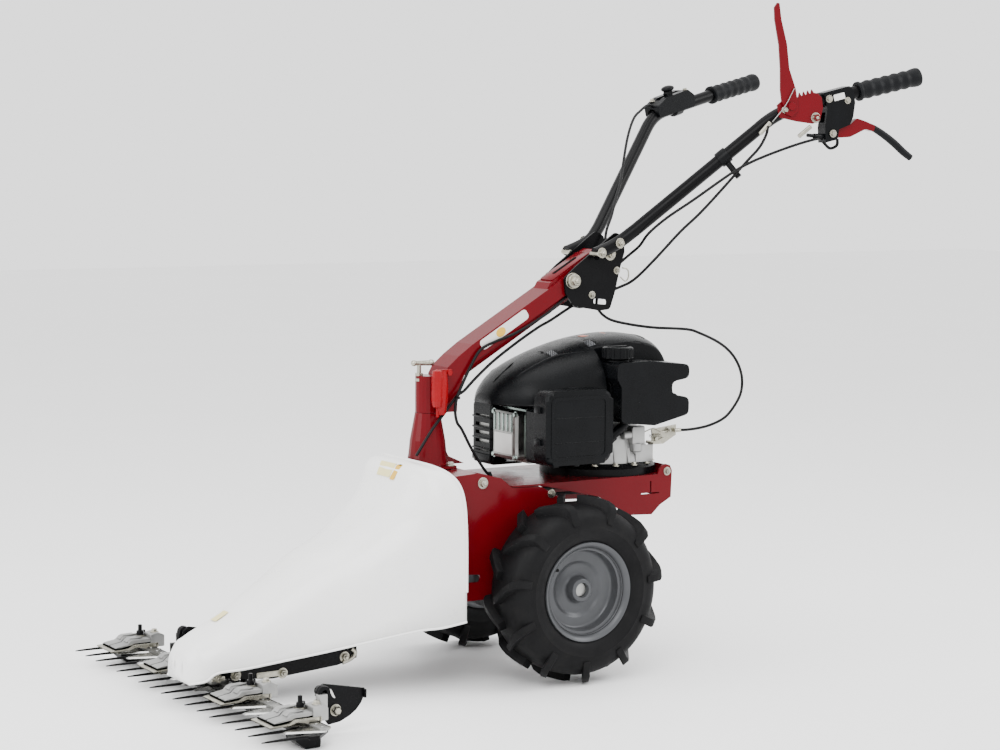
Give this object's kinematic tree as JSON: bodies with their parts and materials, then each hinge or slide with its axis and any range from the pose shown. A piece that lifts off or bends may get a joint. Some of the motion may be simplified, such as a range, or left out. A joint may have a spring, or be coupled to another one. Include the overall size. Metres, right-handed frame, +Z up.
{
  "type": "brush mower",
  "caption": "Walk-behind brush mower: two lugged wheels, upright-shaft engine, red frame, white drive hood, finger cutter bar and swivelling handlebars.",
  "frame": {"origin": "on the floor, midway between the finger tips and the grips' ends and midway across the bar; the axle is directly above it", "axes": "+X forward to the cutter bar, +Y to the machine's left, +Z up"},
  "size_m": [1.5008, 0.8378, 1.2669],
  "materials": {
    "red_paint": "glossy powder coat",
    "black_paint": "satin powder coat",
    "black_plastic": "fine grained moulding",
    "white_plastic": "smooth moulding",
    "red_plastic": "smooth moulding",
    "tyre_rubber": "moulded rubber",
    "rubber": "fabric-backed rubber",
    "grip_rubber": "soft moulded rubber",
    "rim_grey": "satin metallic paint",
    "steel": "machined steel",
    "zinc": "zinc-plated steel",
    "aluminium": "as-cast aluminium",
    "cast_iron": "as-cast iron",
    "cable_black": "extruded sleeve"
  },
  "bodies": {
    "chassis": {"chassis_frame": "red_paint", "engine_deck": "red_paint", "gearbox_housing": "cast_iron", "traction_belt": "rubber", "blade_belt": "rubber", "bar_carrier": "black_paint", "finger_bar": "black_paint", "knife_clamp_1": "zinc", "knife_clamp_2": "zinc", "knife_clamp_3": "zinc", "knife_clamp_4": "zinc", "hood": "white_plastic", "crankcase": "aluminium", "valve_cover": "steel", "muffler": "steel", "muffler_guard": "black_plastic", "air_filter_base": "black_plastic", "air_filter_cover": "black_plastic", "fuel_tank": "black_plastic", "engine_cowl": "black_plastic", "governor_bracket": "zinc", "spark_plug": "black_plastic", "steering_post": "red_paint"},
    "drive_axle": {"axle_shaft": "steel", "worm_wheel": "cast_iron", "wheel_rim_left": "rim_grey", "wheel_rim_right": "rim_grey", "tyre_left": "tyre_rubber", "tyre_right": "tyre_rubber"},
    "worm_shaft": {"input_shaft": "steel", "traction_pulley": "steel"},
    "crankshaft_group": {"crankshaft": "cast_iron", "crank_pulley": "steel"},
    "blade_pulley_group": {"blade_pulley": "steel"},
    "knife_crank_group": {"knife_crank": "steel"},
    "knife_group": {"knife": "steel"},
    "tensioner": {"belt_tensioner": "steel"},
    "left_skid": {"skid_left": "black_paint"},
    "right_skid": {"skid_right": "black_paint"},
    "filler_cap": {"fuel_cap": "black_plastic"},
    "starter": {"starter_grip": "black_plastic"},
    "column": {"column_arm": "red_paint", "height_bolt": "zinc"},
    "clamp_screw": {"swivel_screw": "zinc"},
    "column_lock": {"lock_lever": "red_plastic"},
    "handlebars": {"handle_plate_left": "black_paint", "handle_plate_right": "black_paint", "handlebar_left": "black_paint", "handlebar_right": "black_paint", "grip_left": "grip_rubber", "grip_right": "grip_rubber", "blade_quadrant": "red_paint", "clutch_bracket": "black_plastic", "throttle_housing": "black_plastic", "blade_cable": "cable_black", "clutch_cable": "cable_black", "throttle_cable": "cable_black"},
    "blade_control": {"blade_lever": "red_paint"},
    "clutch_control": {"clutch_lever": "red_plastic"},
    "throttle_control": {"throttle_lever": "black_plastic"}
  },
  "joints": [
    {"name": "axle_spin", "type": "hinge", "parent": "chassis", "child": "drive_axle", "pos_m": [0, 0, 0.175], "axis": [0, 1, 0], "continuous": true},
    {"name": "worm_spin", "type": "hinge", "parent": "chassis", "child": "worm_shaft", "pos_m": [0.0568, 0, 0.2], "axis": [0, 0, 1], "continuous": true},
    {"name": "crankshaft_spin", "type": "hinge", "parent": "chassis", "child": "crankshaft_group", "pos_m": [-0.175, 0, 0.3], "axis": [0, 0, 1], "continuous": true},
    {"name": "blade_pulley_spin", "type": "hinge", "parent": "chassis", "child": "blade_pulley_group", "pos_m": [0.2085, 0, 0.32], "axis": [0, 0, 1], "continuous": true},
    {"name": "knife_crank_spin", "type": "hinge", "parent": "chassis", "child": "knife_crank_group", "pos_m": [0.632, 0, 0.06], "axis": [0, 0, 1], "continuous": true},
    {"name": "knife_stroke", "type": "slide", "parent": "chassis", "child": "knife_group", "axis": [0, 1, 0], "range_m": [-0.0254, 0.0254]},
    {"name": "tensioner_swing", "type": "hinge", "parent": "chassis", "child": "tensioner", "pos_m": [0.045, 0.08, 0.265], "axis": [0, 0, 1], "range_deg": [0, 8]},
    {"name": "left_skid_tilt", "type": "hinge", "parent": "chassis", "child": "left_skid", "pos_m": [0.597, 0.32, 0.076], "axis": [0, 1, 0], "range_deg": [0, 15]},
    {"name": "right_skid_tilt", "type": "hinge", "parent": "chassis", "child": "right_skid", "pos_m": [0.597, -0.238, 0.076], "axis": [0, 1, 0], "range_deg": [0, 15]},
    {"name": "filler_cap_turn", "type": "hinge", "parent": "chassis", "child": "filler_cap", "pos_m": [-0.146, 0.108, 0.6], "axis": [0, 0, 1], "range_deg": [0, 90]},
    {"name": "starter_pull", "type": "slide", "parent": "chassis", "child": "starter", "axis": [0, -1, 0], "range_m": [0, 0.35], "stiffness_N_per_m": 15, "springref_m": -0.1},
    {"name": "column_swivel", "type": "hinge", "parent": "chassis", "child": "column", "pos_m": [0.2085, 0, 0.5], "axis": [0, 0, 1], "range_deg": [-25, 25], "deforming": ["blade_cable", "clutch_cable", "throttle_cable"]},
    {"name": "clamp_screw_turn", "type": "hinge", "parent": "column", "child": "clamp_screw", "pos_m": [0.227, 0, 0.56], "axis": [0, 0, 1], "range_deg": [0, 180]},
    {"name": "column_lock_swing", "type": "hinge", "parent": "column", "child": "column_lock", "pos_m": [0.19, 0.045, 0.574], "axis": [0, 1, 0], "range_deg": [-60, 0]},
    {"name": "handlebar_height", "type": "hinge", "parent": "column", "child": "handlebars", "pos_m": [-0.089, 0, 0.737], "axis": [0, 1, 0], "range_deg": [-10, 12], "deforming": ["blade_cable", "clutch_cable", "throttle_cable"]},
    {"name": "blade_lever_pull", "type": "hinge", "parent": "handlebars", "child": "blade_control", "pos_m": [-0.45897, 0.22712, 1.07207], "axis": [0.1934, 0.9811, 0], "range_deg": [-45, 0]},
    {"name": "clutch_squeeze", "type": "hinge", "parent": "handlebars", "child": "clutch_control", "pos_m": [-0.55433, 0.22554, 1.02069], "axis": [0.1934, 0.9811, 0], "range_deg": [0, 18], "stiffness_Nm_per_rad": 1, "springref_deg": -5.73},
    {"name": "throttle_turn", "type": "hinge", "parent": "handlebars", "child": "throttle_control", "pos_m": [-0.4858, -0.21203, 1.09391], "axis": [0.1934, -0.9811, 0], "range_deg": [-20, 20]}
  ],
  "couplings": [
    {"joint": "worm_spin", "follows": "axle_spin", "ratio": 20},
    {"joint": "knife_crank_spin", "follows": "blade_pulley_spin", "ratio": 1},
    {"joint": "tensioner_swing", "follows": "clutch_squeeze", "ratio": 0.44444}
  ]
}
